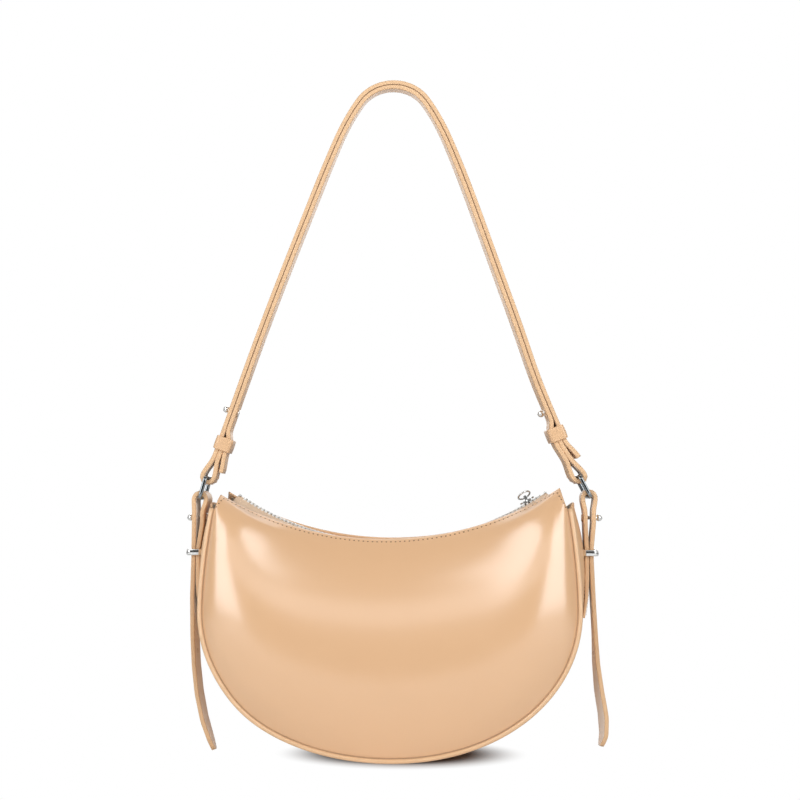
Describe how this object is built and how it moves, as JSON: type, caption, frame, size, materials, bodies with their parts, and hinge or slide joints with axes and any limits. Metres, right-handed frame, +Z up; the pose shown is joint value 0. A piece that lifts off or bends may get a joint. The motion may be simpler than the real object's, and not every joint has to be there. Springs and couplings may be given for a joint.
{
  "type": "half moon bag",
  "caption": "Half-moon leather shoulder bag with a curved zip mouth, piped seams, a doubled strap on rings, ball studs, keepers and hanging strap tails.",
  "frame": {"origin": "middle of the flat patch under the bag that it stands on", "axes": "+Z up, -Y towards the front, +X to the right as seen from the front"},
  "size_m": [0.301, 0.087, 0.4886],
  "materials": {
    "hide": "smooth polished nude leather",
    "strap": "smooth polished strap leather with painted edges",
    "piping": "smooth leather over a cord",
    "lining": "plain woven cotton",
    "tape": "woven zip tape",
    "zip_metal": "polished nickel",
    "bright_metal": "polished nickel",
    "dark_metal": "polished dark nickel"
  },
  "bodies": {
    "bag": {"front_panel": "hide", "back_panel": "hide", "gusset": "hide", "front_piping": "piping", "back_piping": "piping", "front_lining": "lining", "back_lining": "lining", "gusset_lining": "lining", "inner_pocket": "lining", "zip_tape_front": "tape", "zip_tape_back": "tape", "zip_teeth_front": "zip_metal", "zip_teeth_back": "zip_metal", "zip_end_stops": "zip_metal", "side_strap_base_left": "strap", "side_strap_base_right": "strap", "side_strap_return_left": "strap", "side_strap_return_right": "strap", "side_stud_left": "bright_metal", "side_stud_right": "bright_metal", "side_stud_screws": "bright_metal", "metal_keeper_left": "bright_metal", "metal_keeper_right": "bright_metal"},
    "side_loops": {"side_loop_left": "strap", "side_loop_right": "strap"},
    "left_ring": {"ring_left": "dark_metal"},
    "right_ring": {"ring_right": "dark_metal"},
    "shoulder_strap": {"shoulder_strap_outer": "strap", "shoulder_strap_inner": "strap", "strap_stud_left": "bright_metal", "strap_stud_right": "bright_metal", "strap_stud_screws": "bright_metal"},
    "left_keeper": {"leather_keeper_left": "strap"},
    "right_keeper": {"leather_keeper_right": "strap"},
    "left_tail": {"tail_left": "strap"},
    "right_tail": {"tail_right": "strap"},
    "slider": {"zip_slider": "zip_metal"},
    "puller": {"zip_puller": "zip_metal"}
  },
  "joints": [
    {"name": "strap_fold", "type": "hinge", "parent": "bag", "child": "side_loops", "pos_m": [0, 0, 0.1688], "axis": [1, 0, 0], "range_deg": [-60, 60]},
    {"name": "left_ring_swing", "type": "hinge", "parent": "side_loops", "child": "left_ring", "pos_m": [-0.13785, 0, 0.18275], "axis": [0, 1, 0], "range_deg": [-8, 8]},
    {"name": "right_ring_swing", "type": "hinge", "parent": "side_loops", "child": "right_ring", "pos_m": [0.14052, 0, 0.18371], "axis": [0, 1, 0], "range_deg": [-8.5, 8.5]},
    {"name": "strap_swing", "type": "hinge", "parent": "left_ring", "child": "shoulder_strap", "pos_m": [-0.13352, 0, 0.19784], "axis": [0, 1, 0], "range_deg": [-8.5, 8.5]},
    {"name": "left_keeper_slide", "type": "slide", "parent": "shoulder_strap", "child": "left_keeper", "axis": [0.3486, 0, 0.9373], "range_m": [-0.002, 0.015]},
    {"name": "right_keeper_slide", "type": "slide", "parent": "shoulder_strap", "child": "right_keeper", "axis": [-0.3486, 0, 0.9373], "range_m": [-0.002, 0.009]},
    {"name": "left_tail_lift", "type": "hinge", "parent": "bag", "child": "left_tail", "pos_m": [-0.14333, 0, 0.1394], "axis": [0, 1, 0], "range_deg": [0, 60]},
    {"name": "right_tail_lift", "type": "hinge", "parent": "bag", "child": "right_tail", "pos_m": [0.14333, 0, 0.1394], "axis": [0, 1, 0], "range_deg": [-60, 0]},
    {"name": "zip_slide", "type": "hinge", "parent": "bag", "child": "slider", "pos_m": [0, 0, 0.3532], "axis": [0, 1, 0], "range_deg": [0, 59]},
    {"name": "puller_swing", "type": "hinge", "parent": "slider", "child": "puller", "pos_m": [0.09687, 0, 0.18316], "axis": [0.8689, 0, 0.495], "range_deg": [-125, 20]}
  ],
  "couplings": [
    {"joint": "right_ring_swing", "follows": "left_ring_swing", "ratio": 1.0434},
    {"joint": "strap_swing", "follows": "left_ring_swing", "ratio": -1.04}
  ]
}
